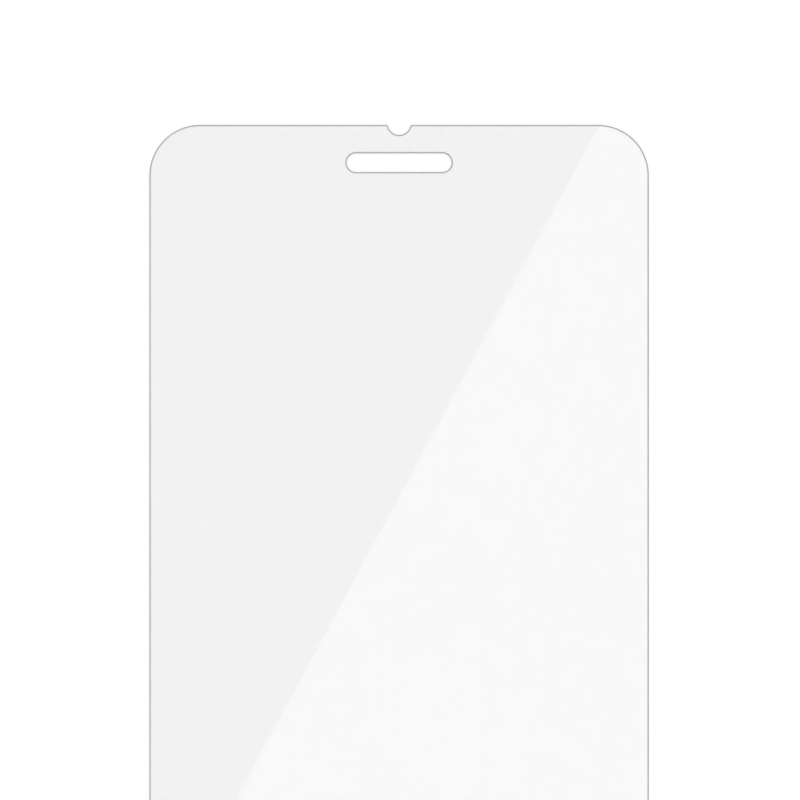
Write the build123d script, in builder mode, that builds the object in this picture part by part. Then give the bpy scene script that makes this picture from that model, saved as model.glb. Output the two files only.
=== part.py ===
"""Clear glass screen protector for a phone, cut as one flat sheet.

The sheet lies on its back, the side that goes against the phone. X runs across it, Y runs
along it towards the earpiece end, and Z points out of its front. The origin is the middle
of the back face. Sizes are in millimetres.
"""

import os

from build123d import *

# Sheet
sheet_width = 62.0
sheet_length = 132.0
sheet_thickness = 0.4
corner_radius = 6.3

# Sensor notch, an arc cut into the middle of the earpiece end
notch_width = 2.8
notch_depth = 1.24

# Earpiece slot, with round ends
slot_length = 13.0
slot_height = 2.3
slot_drop = 4.7  # from the earpiece end down to the middle of the slot

# Finish of every edge, along the rim, the notch and the slot alike
front_round = 0.18
back_chamfer = 0.06
edge_land = 0.05  # least upright wall between the round and the chamfer
lip_land = 0.12  # radius left on the front face where the notch meets the rim

# Places and radii that follow from the sizes above
earpiece_end = sheet_length / 2
slot_y = earpiece_end - slot_drop
notch_radius = (notch_width**2 / 4 + notch_depth**2) / (2 * notch_depth)
notch_y = earpiece_end - notch_depth + notch_radius
edge_round = min(front_round, sheet_thickness - back_chamfer - edge_land)
lip_radius = lip_land + edge_round

with BuildPart() as glass_sheet:
    with BuildSketch() as outline:
        RectangleRounded(sheet_width, sheet_length, corner_radius)
        with Locations((0, notch_y)):
            Circle(notch_radius, mode=Mode.SUBTRACT)
        end_corners = outline.vertices().group_by(Axis.Y)[-1]
        lips = end_corners.sort_by(lambda corner: abs(corner.X))[:2]
        fillet(lips, lip_radius)
        with Locations((0, slot_y)):
            SlotOverall(slot_length, slot_height, mode=Mode.SUBTRACT)
    extrude(amount=sheet_thickness)
    front_edges = glass_sheet.faces().sort_by(Axis.Z)[-1].edges()
    fillet(front_edges, edge_round)
    back_edges = glass_sheet.faces().sort_by(Axis.Z)[0].edges()
    chamfer(back_edges, back_chamfer)
glass_sheet.part.label = "glass_sheet"

os.makedirs("parts", exist_ok=True)
export_step(glass_sheet.part, "parts/glass_sheet.step")
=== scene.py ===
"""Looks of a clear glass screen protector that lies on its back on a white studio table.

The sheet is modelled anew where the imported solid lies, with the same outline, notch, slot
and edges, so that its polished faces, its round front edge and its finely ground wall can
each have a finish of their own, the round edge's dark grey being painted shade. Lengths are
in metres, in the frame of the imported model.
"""

import logging
import math
from collections.abc import Callable, Mapping
from dataclasses import dataclass
from enum import Enum

import bmesh
import bpy
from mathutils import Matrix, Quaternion, Vector


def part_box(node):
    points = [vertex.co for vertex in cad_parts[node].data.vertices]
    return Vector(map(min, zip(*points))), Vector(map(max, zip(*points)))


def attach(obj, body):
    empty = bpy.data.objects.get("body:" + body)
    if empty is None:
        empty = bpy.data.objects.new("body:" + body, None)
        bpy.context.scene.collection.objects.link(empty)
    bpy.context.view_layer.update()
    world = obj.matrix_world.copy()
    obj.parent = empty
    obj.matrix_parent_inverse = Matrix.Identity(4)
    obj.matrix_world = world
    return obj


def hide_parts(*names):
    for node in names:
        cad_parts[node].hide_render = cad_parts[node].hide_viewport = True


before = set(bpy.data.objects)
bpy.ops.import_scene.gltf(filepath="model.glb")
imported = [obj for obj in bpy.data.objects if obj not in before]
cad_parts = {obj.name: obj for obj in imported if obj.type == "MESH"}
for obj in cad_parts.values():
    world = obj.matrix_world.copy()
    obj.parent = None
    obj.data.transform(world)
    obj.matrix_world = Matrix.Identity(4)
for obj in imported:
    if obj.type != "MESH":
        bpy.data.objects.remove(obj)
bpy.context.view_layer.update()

MM = 0.001
WHITE = (1.0, 1.0, 1.0, 1.0)
CAD_NODE = "glass_sheet"
BODY = "root"

TINY = 1e-6  # two places closer than this are one
FLAT = 0.9999  # a face whose direction rises by more than this is one of the two flat faces
UPRIGHT = 0.05  # a face whose direction rises by less than this is on the wall

MeshElement = bmesh.types.BMVert | bmesh.types.BMEdge | bmesh.types.BMFace
NodeInput = float | tuple[float, ...] | bpy.types.NodeSocket

log = logging.getLogger("screen_protector")


class Element(Enum):
    """What a selection in edit mode is made of."""

    POINT = "VERT"
    EDGE = "EDGE"
    FACE = "FACE"


class Level(Enum):
    """The two flat faces of the sheet, by the way that each one looks along Z."""

    FRONT = 1
    BACK = -1


class Surface(Enum):
    """The finishes on the sheet, by the material slot that holds each."""

    POLISHED_FACE = 0
    ROUND_EDGE = 1
    GROUND_WALL = 2


def select(mesh: bpy.types.Mesh, element: Element, test: Callable[[MeshElement], bool]) -> None:
    """Selects the points, edges or faces that pass a test, and nothing else.

    Args:
        mesh: The mesh that is being edited.
        element: Which of the three are selected.
        test: Says of each one whether it is selected.
    """
    bpy.ops.mesh.select_all(action="DESELECT")
    bpy.ops.mesh.select_mode(type=element.value)
    shape = bmesh.from_edit_mesh(mesh)
    choices = {Element.POINT: shape.verts, Element.EDGE: shape.edges, Element.FACE: shape.faces}
    for choice in choices[element]:
        choice.select = test(choice)
    shape.select_flush_mode()
    bmesh.update_edit_mesh(mesh)


def on_middle(point: bmesh.types.BMVert) -> bool:
    """Says whether a point is on the sheet's long middle line."""
    return abs(point.co.x) < TINY


def add_rectangle(middle: Vector, width: float, height: float) -> bpy.types.Object:
    """Adds a flat rectangle, as a new object or to the mesh that is being edited.

    Args:
        middle: The place of its middle.
        width: Its size along X.
        height: Its size along Y.

    Returns:
        The object that holds it, in edit mode, with the rectangle selected.
    """
    if bpy.context.mode == "OBJECT":
        bpy.ops.object.select_all(action="DESELECT")
    bpy.ops.mesh.primitive_plane_add(size=1.0, location=middle)
    if bpy.context.mode == "OBJECT":
        bpy.ops.object.transform_apply(location=True, rotation=True, scale=True)
        bpy.ops.object.mode_set(mode="EDIT")
    bpy.ops.transform.resize(value=(width, height, 1.0), center_override=middle)
    return bpy.context.object


def add_node(
    tree: bpy.types.NodeTree,
    kind: str,
    inputs: Mapping[str | int, NodeInput] | None = None,
    **settings: object,
) -> bpy.types.Node:
    """Adds a node to a tree, and fills or feeds its inputs.

    Args:
        tree: The tree.
        kind: The node's type.
        inputs: What each input gets, by its name or number: a value, or the output that feeds it.
        settings: The node's own settings, by name.

    Returns:
        The new node.
    """
    node = tree.nodes.new(kind)
    for name, setting in settings.items():
        setattr(node, name, setting)
    for name, given in (inputs or {}).items():
        if isinstance(given, bpy.types.NodeSocket):
            tree.links.new(given, node.inputs[name])
        else:
            node.inputs[name].default_value = given
    return node


def bare_material(name: str) -> bpy.types.Material:
    """Makes a material with no nodes in it yet.

    Args:
        name: The material's name.

    Returns:
        The new material.
    """
    material = bpy.data.materials.new(name)
    material.use_nodes = True
    material.node_tree.nodes.clear()
    return material


@dataclass(frozen=True)
class GlassGrain:
    """The small unevenness that glass has from its making, for every finish of it.

    Attributes:
        fine_detail: How many finer layers the fine grain has.
        broad_detail: How many finer layers the slow change has.
        fine_share: How much of the height is fine grain, the rest being slow change.
        low: The height at which tint and roughness are least.
        high: The height at which they are most.
    """

    fine_detail: float = 3.0
    broad_detail: float = 1.0
    fine_share: float = 0.5
    low: float = 0.3
    high: float = 0.7

    def group(self) -> bpy.types.NodeTree:
        """Makes the node group.

        Returns:
            A group that takes a place, two grain scales and two limits each for tint and
            roughness, and gives a tint, a roughness and a height that change over the surface.
        """
        tree = bpy.data.node_groups.new("glass_grain", "ShaderNodeTree")
        sockets = tree.interface
        sockets.new_socket("Place", in_out="INPUT", socket_type="NodeSocketVector")
        for name in ("Fine Scale", "Broad Scale", "Least Tint", "Most Tint", "Least Rough", "Most Rough"):
            sockets.new_socket(name, in_out="INPUT", socket_type="NodeSocketFloat")
        sockets.new_socket("Tint", in_out="OUTPUT", socket_type="NodeSocketColor")
        sockets.new_socket("Roughness", in_out="OUTPUT", socket_type="NodeSocketFloat")
        sockets.new_socket("Height", in_out="OUTPUT", socket_type="NodeSocketFloat")

        given = add_node(tree, "NodeGroupInput").outputs
        fine = self.noise(tree, given["Place"], given["Fine Scale"], self.fine_detail)
        broad = self.noise(tree, given["Place"], given["Broad Scale"], self.broad_detail)
        slow = add_node(
            tree,
            "ShaderNodeMath",
            {0: broad, 1: 1.0 - self.fine_share},
            operation="MULTIPLY",
        ).outputs["Value"]
        height = add_node(
            tree,
            "ShaderNodeMath",
            {0: fine, 1: self.fine_share, 2: slow},
            operation="MULTIPLY_ADD",
        ).outputs["Value"]
        tint = self.ramp(tree, height, given["Least Tint"], given["Most Tint"])
        rough = self.ramp(tree, height, given["Least Rough"], given["Most Rough"])
        add_node(tree, "NodeGroupOutput", {"Tint": tint, "Roughness": rough, "Height": height})
        return tree

    def noise(
        self,
        tree: bpy.types.NodeTree,
        place: bpy.types.NodeSocket,
        scale: bpy.types.NodeSocket,
        detail: float,
    ) -> bpy.types.NodeSocket:
        """Adds a noise to the group.

        Args:
            tree: The group.
            place: The output that gives the place on the surface.
            scale: The output that gives the noise's scale.
            detail: How many finer layers it has.

        Returns:
            The output that gives the noise, about 0.5 on the whole.
        """
        inputs = {"Vector": place, "Scale": scale, "Detail": detail}
        return add_node(tree, "ShaderNodeTexNoise", inputs).outputs["Fac"]

    def ramp(
        self,
        tree: bpy.types.NodeTree,
        height: bpy.types.NodeSocket,
        least: bpy.types.NodeSocket,
        most: bpy.types.NodeSocket,
    ) -> bpy.types.NodeSocket:
        """Adds a ramp to the group, which turns the height into a value between two limits.

        Args:
            tree: The group.
            height: The output that gives the height.
            least: The output that gives the lower limit.
            most: The output that gives the upper limit.

        Returns:
            The output that gives the value.
        """
        inputs = {
            "Value": height,
            "From Min": self.low,
            "From Max": self.high,
            "To Min": least,
            "To Max": most,
        }
        return add_node(tree, "ShaderNodeMapRange", inputs).outputs["Result"]


@dataclass(frozen=True)
class GlassFinish:
    """One finish of the glass, with the unevenness that shows in it.

    Attributes:
        name: The material's name.
        transmission: The share of the light that goes into the glass.
        tint: The least and most light let through, over the grain; on the round edge it is a dark painted
            shade.
        roughness: The least and most roughness, over the grain.
        fine_grain: The length of the fine grain.
        broad_grain: The length of the slow change.
        relief: The height of the grain, or 0 where it is polished away.
        refraction: The glass's index of refraction.
    """

    name: str
    transmission: float
    tint: tuple[float, float]
    roughness: tuple[float, float]
    fine_grain: float
    broad_grain: float
    relief: float = 0.0
    refraction: float = 1.52

    def material(self, grain: bpy.types.NodeTree) -> bpy.types.Material:
        """Makes the material of this finish.

        Args:
            grain: The node group for the glass's unevenness.

        Returns:
            The new material.
        """
        material = bare_material(self.name)
        tree = material.node_tree
        least_tint, most_tint = self.tint
        least_rough, most_rough = self.roughness
        uneven = add_node(
            tree,
            "ShaderNodeGroup",
            {
                "Place": add_node(tree, "ShaderNodeTexCoord").outputs["Object"],
                "Fine Scale": 1.0 / self.fine_grain,
                "Broad Scale": 1.0 / self.broad_grain,
                "Least Tint": least_tint,
                "Most Tint": most_tint,
                "Least Rough": least_rough,
                "Most Rough": most_rough,
            },
            node_tree=grain,
        ).outputs
        glass = add_node(
            tree,
            "ShaderNodeBsdfPrincipled",
            {
                "Base Color": uneven["Tint"],
                "Roughness": uneven["Roughness"],
                "IOR": self.refraction,
                "Transmission Weight": self.transmission,
            },
        )
        if self.relief > 0:
            bump = add_node(tree, "ShaderNodeBump", {"Height": uneven["Height"], "Distance": self.relief})
            tree.links.new(bump.outputs["Normal"], glass.inputs["Normal"])
        add_node(tree, "ShaderNodeOutputMaterial", {"Surface": glass.outputs["BSDF"]})
        return material


FINISHES = {
    Surface.POLISHED_FACE: GlassFinish(
        name="polished_face",
        transmission=1.0,
        tint=(0.982, 0.988),
        roughness=(0.0, 0.008),
        fine_grain=6.0 * MM,
        broad_grain=40.0 * MM,
    ),
    Surface.ROUND_EDGE: GlassFinish(
        name="round_edge_painted_shade",
        transmission=0.5,
        # The round edge's dark grey tint is painted shade: it stands in for the darkening that a clear
        # glass edge gets from refraction and reflection.
        tint=(0.32, 0.38),
        roughness=(0.1, 0.2),
        fine_grain=0.2 * MM,
        broad_grain=5.0 * MM,
    ),
    Surface.GROUND_WALL: GlassFinish(
        name="ground_wall",
        transmission=0.5,
        tint=(0.85, 0.95),
        roughness=(0.4, 0.55),
        fine_grain=0.12 * MM,
        broad_grain=3.0 * MM,
        relief=0.004 * MM,
    ),
}


@dataclass
class GlassSheet:
    """The sheet of glass, modelled as its right half and mirrored about the middle line.

    Attributes:
        width: The size across the sheet.
        length: The size along it.
        thickness: The size from its back to its front.
        corner_radius: The radius of its four corners.
        notch_width: The width of the sensor notch, at the earpiece end.
        notch_depth: The depth of the notch.
        lip_radius: The radius of the lips where the notch meets the end.
        slot_length: The length of the earpiece slot, over its round ends.
        slot_height: The height of the slot.
        slot_drop: From the earpiece end to the middle of the slot.
        front_round: The radius on every edge of the front.
        back_chamfer: The chamfer on every edge of the back.
        corner_steps: Straight steps along each corner.
        notch_steps: Straight steps along half the notch.
        lip_steps: Straight steps along each lip.
        slot_steps: Straight steps along a quarter turn of the slot's ends.
        round_steps: Straight steps across the front's round edge.
        crease: The turn between two faces past which their edge stays sharp.
    """

    width: float
    length: float
    thickness: float
    corner_radius: float = 6.3 * MM
    notch_width: float = 2.8 * MM
    notch_depth: float = 1.24 * MM
    lip_radius: float = 0.30 * MM
    slot_length: float = 13.0 * MM
    slot_height: float = 2.3 * MM
    slot_drop: float = 4.7 * MM
    front_round: float = 0.18 * MM
    back_chamfer: float = 0.06 * MM
    corner_steps: int = 48
    notch_steps: int = 24
    lip_steps: int = 12
    slot_steps: int = 20
    round_steps: int = 8
    crease: float = math.radians(35.0)

    def build(self) -> bpy.types.Object:
        """Models the sheet.

        Returns:
            The finished sheet, with its place in its mesh.
        """
        sheet = self.outline_half()
        self.cut_notch(sheet.data)
        self.cut_slot(sheet.data)
        self.close_half(sheet)
        self.thicken()
        self.finish_edges(sheet.data, Level.FRONT, self.front_round, self.round_steps)
        self.finish_edges(sheet.data, Level.BACK, self.back_chamfer, 1)
        self.smooth(sheet)
        return sheet

    def outline_half(self) -> bpy.types.Object:
        """Draws the right half of the sheet's outline, open along the middle line.

        Returns:
            The new object, in edit mode.
        """
        sheet = add_rectangle(Vector((self.width / 4, 0.0, 0.0)), self.width / 2, self.length)
        sheet.name = sheet.data.name = "clear_sheet"
        select(sheet.data, Element.POINT, lambda point: not on_middle(point))
        self.round_corners(self.corner_radius, self.corner_steps)
        self.open_at_middle(sheet.data)
        return sheet

    def cut_notch(self, mesh: bpy.types.Mesh) -> None:
        """Turns the earpiece end down over the lip and round the notch to the middle line.

        Args:
            mesh: The mesh that is being edited.
        """
        end = self.length / 2
        notch_radius = (self.notch_width**2 / 4 + self.notch_depth**2) / (2 * self.notch_depth)
        notch_centre = Vector((0.0, end - self.notch_depth + notch_radius, 0.0))
        drop = notch_centre.y - (end - self.lip_radius)
        reach = math.sqrt((notch_radius + self.lip_radius) ** 2 - drop**2)
        lip_centre = Vector((reach, end - self.lip_radius, 0.0))
        turn = math.atan2(reach, drop)

        select(mesh, Element.POINT, lambda point: on_middle(point) and point.co.y > 0)
        bpy.ops.transform.translate(value=(reach, 0.0, 0.0))
        down = (0.0, 0.0, -1.0)
        bpy.ops.mesh.spin(steps=self.lip_steps, angle=turn, center=lip_centre, axis=down)
        bpy.ops.mesh.spin(steps=self.notch_steps, angle=-turn, center=notch_centre, axis=down)

    def cut_slot(self, mesh: bpy.types.Mesh) -> None:
        """Draws the right half of the earpiece slot, open along the middle line.

        Args:
            mesh: The mesh that is being edited.
        """
        slot_end = self.slot_length / 2
        middle = Vector((slot_end / 2, self.slot_y(), 0.0))
        add_rectangle(middle, slot_end, self.slot_height)

        def on_slot_end(point: bmesh.types.BMVert) -> bool:
            """Says whether a point is one of the two corners at the slot's end."""
            return abs(point.co.x - slot_end) < TINY and abs(point.co.y - middle.y) < self.slot_height

        select(mesh, Element.POINT, on_slot_end)
        self.round_corners(self.slot_height / 2, self.slot_steps)
        self.open_at_middle(mesh)

    def slot_y(self) -> float:
        """Gives the place of the slot's middle along the sheet."""
        return self.length / 2 - self.slot_drop

    def round_corners(self, radius: float, steps: int) -> None:
        """Rounds the selected corners of an outline.

        Args:
            radius: The radius.
            steps: Straight steps along each corner.
        """
        bpy.ops.mesh.bevel(affect="VERTICES", offset=radius, segments=steps, clamp_overlap=False)

    def open_at_middle(self, mesh: bpy.types.Mesh) -> None:
        """Leaves only the outline of the faces there are, without its side on the middle line.

        Args:
            mesh: The mesh that is being edited.
        """
        bpy.ops.mesh.select_all(action="SELECT")
        bpy.ops.mesh.delete(type="ONLY_FACE")
        select(mesh, Element.EDGE, lambda edge: all(on_middle(end) for end in edge.verts))
        bpy.ops.mesh.delete(type="EDGE")

    def close_half(self, sheet: bpy.types.Object) -> None:
        """Closes the half outline along the middle line, fills it and mirrors it.

        Args:
            sheet: The sheet, in edit mode.
        """
        bpy.ops.mesh.select_all(action="SELECT")
        bpy.ops.mesh.remove_doubles(threshold=TINY)
        for side in (1, -1):
            select(
                sheet.data,
                Element.POINT,
                lambda point: on_middle(point) and (point.co.y - self.slot_y()) * side > 0,
            )
            bpy.ops.mesh.edge_face_add()
        bpy.ops.mesh.select_all(action="SELECT")
        bpy.ops.mesh.edge_face_add()
        bpy.ops.object.mode_set(mode="OBJECT")

        mirror = sheet.modifiers.new("other_half", "MIRROR")
        mirror.use_axis = (True, False, False)
        mirror.use_mirror_merge = True
        mirror.merge_threshold = TINY
        bpy.ops.object.modifier_apply(modifier=mirror.name)
        bpy.ops.object.mode_set(mode="EDIT")

    def thicken(self) -> None:
        """Raises the filled outline to the sheet's thickness."""
        bpy.ops.mesh.select_all(action="SELECT")
        rise = {"value": (0.0, 0.0, self.thickness)}
        bpy.ops.mesh.extrude_region_move(TRANSFORM_OT_translate=rise)
        bpy.ops.mesh.select_all(action="SELECT")
        bpy.ops.mesh.normals_make_consistent(inside=False)

    def finish_edges(self, mesh: bpy.types.Mesh, level: Level, size: float, steps: int) -> None:
        """Rounds or chamfers every edge of one flat face, along the rim, the notch and the slot.

        Args:
            mesh: The mesh that is being edited.
            level: The flat face.
            size: The radius or the chamfer.
            steps: Straight steps across the edge, 1 for a chamfer.
        """

        def bounds_level(edge: bmesh.types.BMEdge) -> bool:
            """Says whether an edge is between the flat face and the wall."""
            rises = [face.normal.z * level.value for face in edge.link_faces]
            return max(rises) > FLAT > min(rises)

        select(mesh, Element.EDGE, bounds_level)
        bpy.ops.mesh.bevel(affect="EDGES", offset=size, segments=steps, clamp_overlap=False)

    def smooth(self, sheet: bpy.types.Object) -> None:
        """Smooths the round edges and keeps the flat faces flat.

        Args:
            sheet: The sheet, in edit mode.
        """
        bpy.ops.object.mode_set(mode="OBJECT")
        bpy.ops.object.shade_smooth_by_angle(angle=self.crease)
        even = sheet.modifiers.new("flat_faces", "WEIGHTED_NORMAL")
        even.mode = "FACE_AREA"
        even.keep_sharp = True
        bpy.ops.object.modifier_apply(modifier=even.name)

    def dress(self, sheet: bpy.types.Object, grain: bpy.types.NodeTree) -> None:
        """Gives the faces, the round edges and the wall their finishes, and ties the sheet to its body.

        Args:
            sheet: The finished sheet.
            grain: The node group for the glass's unevenness.
        """
        for surface in Surface:
            sheet.data.materials.append(FINISHES[surface].material(grain))
        bpy.ops.object.mode_set(mode="EDIT")
        for surface in Surface:
            select(sheet.data, Element.FACE, lambda face: self.surface_of(face.normal) is surface)
            sheet.active_material_index = surface.value
            bpy.ops.object.material_slot_assign()
        bpy.ops.object.mode_set(mode="OBJECT")
        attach(sheet, BODY)
        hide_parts(CAD_NODE)

    def surface_of(self, normal: Vector) -> Surface:
        """Tells which finish a face has, from the way that it looks.

        Args:
            normal: The face's outward direction.

        Returns:
            The finish.
        """
        if abs(normal.z) > FLAT:
            return Surface.POLISHED_FACE
        return Surface.ROUND_EDGE if normal.z > UPRIGHT else Surface.GROUND_WALL


@dataclass(frozen=True)
class TableFinish:
    """A white that the lamps light only in part, so that it stays white and still takes a shadow.

    Attributes:
        name: The material's name.
        glow: The part of the white that is the same whatever the lamps do.
        far_glow: The same part far from the sheet, where the table meets the room.
        fade: How far from the sheet the one starts to turn into the other, and how far it ends.
        colour: The part that the lamps light.
    """

    name: str = "white_table"
    glow: float = 0.807
    far_glow: float = 0.418
    fade: tuple[float, float] = (2.0, 6.0)
    colour: float = 0.24

    def material(self) -> bpy.types.Material:
        """Makes the material.

        Returns:
            The new material.
        """
        material = bare_material(self.name)
        tree = material.node_tree
        place = add_node(tree, "ShaderNodeTexCoord").outputs["Object"]
        distance = add_node(tree, "ShaderNodeVectorMath", {0: place}, operation="LENGTH")
        fade_start, fade_end = self.fade
        level = add_node(
            tree,
            "ShaderNodeMapRange",
            {
                "Value": distance.outputs["Value"],
                "From Min": fade_start,
                "From Max": fade_end,
                "To Min": self.glow,
                "To Max": self.far_glow,
            },
            interpolation_type="SMOOTHSTEP",
        )
        ray = add_node(tree, "ShaderNodeLightPath").outputs
        through_glass = add_node(
            tree,
            "ShaderNodeMath",
            {0: ray["Is Glossy Ray"], 1: ray["Is Transmission Ray"]},
            operation="MAXIMUM",
        )
        seen = add_node(
            tree,
            "ShaderNodeMath",
            {0: ray["Is Camera Ray"], 1: through_glass.outputs["Value"]},
            operation="MAXIMUM",
        )
        strength = add_node(
            tree,
            "ShaderNodeMath",
            {0: level.outputs["Result"], 1: seen.outputs["Value"]},
            operation="MULTIPLY",
        )
        glow = add_node(tree, "ShaderNodeEmission", {"Strength": strength.outputs["Value"]})
        colour = (self.colour, self.colour, self.colour, 1.0)
        lit = add_node(tree, "ShaderNodeBsdfDiffuse", {"Color": colour})
        both = add_node(tree, "ShaderNodeAddShader", {0: lit.outputs["BSDF"], 1: glow.outputs["Emission"]})
        add_node(tree, "ShaderNodeOutputMaterial", {"Surface": both.outputs["Shader"]})
        return material


@dataclass(frozen=True)
class LightPanel:
    """A flat, even lamp that shows only in what mirrors it.

    Attributes:
        size: Its two sides.
        level: Its brightness, where white is 1.
    """

    size: tuple[float, float]
    level: float

    def hang(self, name: str, place: Vector, turn: Quaternion) -> bpy.types.Object:
        """Makes the lamp and puts it in its place.

        Args:
            name: The lamp's name.
            place: The place of its middle.
            turn: Its turn, from facing down with its first side along X.

        Returns:
            The lamp.
        """
        light = bpy.data.lights.new(name, "AREA")
        light.shape = "RECTANGLE"
        light.size, light.size_y = self.size
        # The watts that give an even panel of this area its brightness
        light.energy = self.level * math.pi * light.size * light.size_y
        lamp = bpy.data.objects.new(name, light)
        lamp.location = place
        lamp.rotation_euler = turn.to_euler()
        lamp.visible_camera = False
        bpy.context.scene.collection.objects.link(lamp)
        return lamp


@dataclass
class Studio:
    """The white table, the lamps over it and round it, and the camera that looks straight down.

    Attributes:
        table_size: The side of the table.
        table_finish: The white of the table.
        air_gap: The film of air under the sheet.
        room_light: The level of the even light all round.
        view_centre: Where the camera's axis meets the table.
        view_width: The width of the table that the picture takes in.
        lens: The camera's focal length, in millimetres.
        strip: One of the long lamps that hang side by side over the table.
        strip_height: Their height.
        strip_pitch: From one of them to the next.
        strips_before: How many hang before the one whose edge the camera sees mirrored.
        strips_after: How many hang after it.
        glare_at_end: Where that mirrored edge crosses the sheet's earpiece end.
        glare_lean: How far the edge leans from the sheet's long side.
        side_panel: One of the lamps that stand round the table.
        side_count: How many of them there are.
        side_start: How far round the table the first one stands, from the earpiece end.
        side_ring: The radius of the ring that they stand on.
        side_height: The height of their middles.
    """

    table_size: float = 30.0
    table_finish: TableFinish = TableFinish()
    air_gap: float = 0.05 * MM
    room_light: float = 0.55
    view_centre: tuple[float, float] = (0.111 * MM, 31.85 * MM)
    view_width: float = 99.31 * MM
    lens: float = 300.0
    strip: LightPanel = LightPanel(size=(0.29, 2.4), level=0.73)
    strip_height: float = 0.9
    strip_pitch: float = 0.55
    strips_before: int = 2
    strips_after: int = 1
    glare_at_end: float = 24.92 * MM
    glare_lean: float = math.radians(28.33)
    side_panel: LightPanel = LightPanel(size=(0.185, 0.65), level=0.40)
    side_count: int = 12
    side_start: float = math.radians(4.6)
    side_ring: float = 0.8
    side_height: float = 0.375

    def table(self) -> bpy.types.Object:
        """Makes the white table top.

        Returns:
            The table top, kept out of the sheet's body.
        """
        bpy.ops.object.select_all(action="DESELECT")
        bpy.ops.mesh.primitive_plane_add(size=self.table_size, location=(0.0, 0.0, -self.air_gap))
        top = bpy.context.object
        top.name = top.data.name = "table_top"
        top.data.materials.append(self.table_finish.material())
        return top

    def camera(self) -> bpy.types.Object:
        """Sets the camera over the sheet, looking straight down.

        Returns:
            The scene's camera.
        """
        data = bpy.data.cameras.new("camera")
        data.lens = self.lens
        camera = bpy.data.objects.new("camera", data)
        camera.location = (*self.view_centre, self.view_width * data.lens / data.sensor_width)
        bpy.context.scene.collection.objects.link(camera)
        bpy.context.scene.camera = camera
        return camera

    def lean(self) -> Quaternion:
        """Gives the turn that the glare's lean asks of a lamp that faces down."""
        return Quaternion((0.0, 0.0, 1.0), -self.glare_lean)

    def overhead(self, camera: bpy.types.Object, end: float) -> list[bpy.types.Object]:
        """Hangs the strips so that one straight edge is mirrored across the sheet.

        Args:
            camera: The camera that sees the mirrored edge.
            end: The place of the sheet's earpiece end along its length.

        Returns:
            The strips.
        """
        eye = camera.location
        below_eye = Vector((eye.x, eye.y, 0.0))
        across = self.lean() @ Vector((1.0, 0.0, 0.0))
        # The ray from the eye to the glare goes on, mirrored, up to the edge of a strip
        glare_distance = across.dot(Vector((self.glare_at_end, end, 0.0)) - below_eye)
        edge_distance = glare_distance * (eye.z + self.strip_height) / eye.z
        lamps = []
        for number in range(-self.strips_before, self.strips_after + 1):
            distance = edge_distance + self.strip.size[0] / 2 + number * self.strip_pitch
            place = below_eye + across * distance
            place.z = self.strip_height
            lamps.append(self.strip.hang(f"strip_{len(lamps) + 1}", place, self.lean()))
        return lamps

    def sides(self) -> list[bpy.types.Object]:
        """Stands the leaning lamps round the table, for the sheet to mirror from any side.

        Returns:
            The lamps.
        """
        lamps = []
        for number in range(self.side_count):
            around = self.side_start + math.tau * number / self.side_count
            x = self.side_ring * math.sin(around)
            y = self.side_ring * math.cos(around)
            place = Vector((x, y, self.side_height))
            facing = (-place).to_track_quat("-Z", "Y")
            lamps.append(self.side_panel.hang(f"side_panel_{number + 1}", place, facing @ self.lean()))
        return lamps

    def room(self) -> bpy.types.World:
        """Gives the room its even light.

        Returns:
            The scene's world.
        """
        world = bpy.data.worlds.new("room")
        world.use_nodes = True
        light = world.node_tree.nodes["Background"]
        light.inputs["Color"].default_value = WHITE
        light.inputs["Strength"].default_value = self.room_light
        bpy.context.scene.world = world
        return world


def main() -> None:
    """Builds the sheet and the studio."""
    logging.basicConfig(level=logging.INFO, format="%(message)s")
    bpy.context.scene.view_settings.view_transform = "Standard"

    low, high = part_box(CAD_NODE)
    size = high - low
    maker = GlassSheet(width=size.x, length=size.y, thickness=size.z)
    sheet = maker.build()
    maker.dress(sheet, GlassGrain().group())
    log.info("%s: %d faces", sheet.name, len(sheet.data.polygons))

    studio = Studio()
    log.info("%s: stage", studio.table().name)
    camera = studio.camera()
    log.info("%s: %.0f mm over the table", camera.name, camera.location.z / MM)
    log.info("%d strips overhead", len(studio.overhead(camera, high.y)))
    log.info("%d side panels", len(studio.sides()))
    log.info("%s: level %.2f", studio.room().name, studio.room_light)


if __name__ == "__main__":
    main()
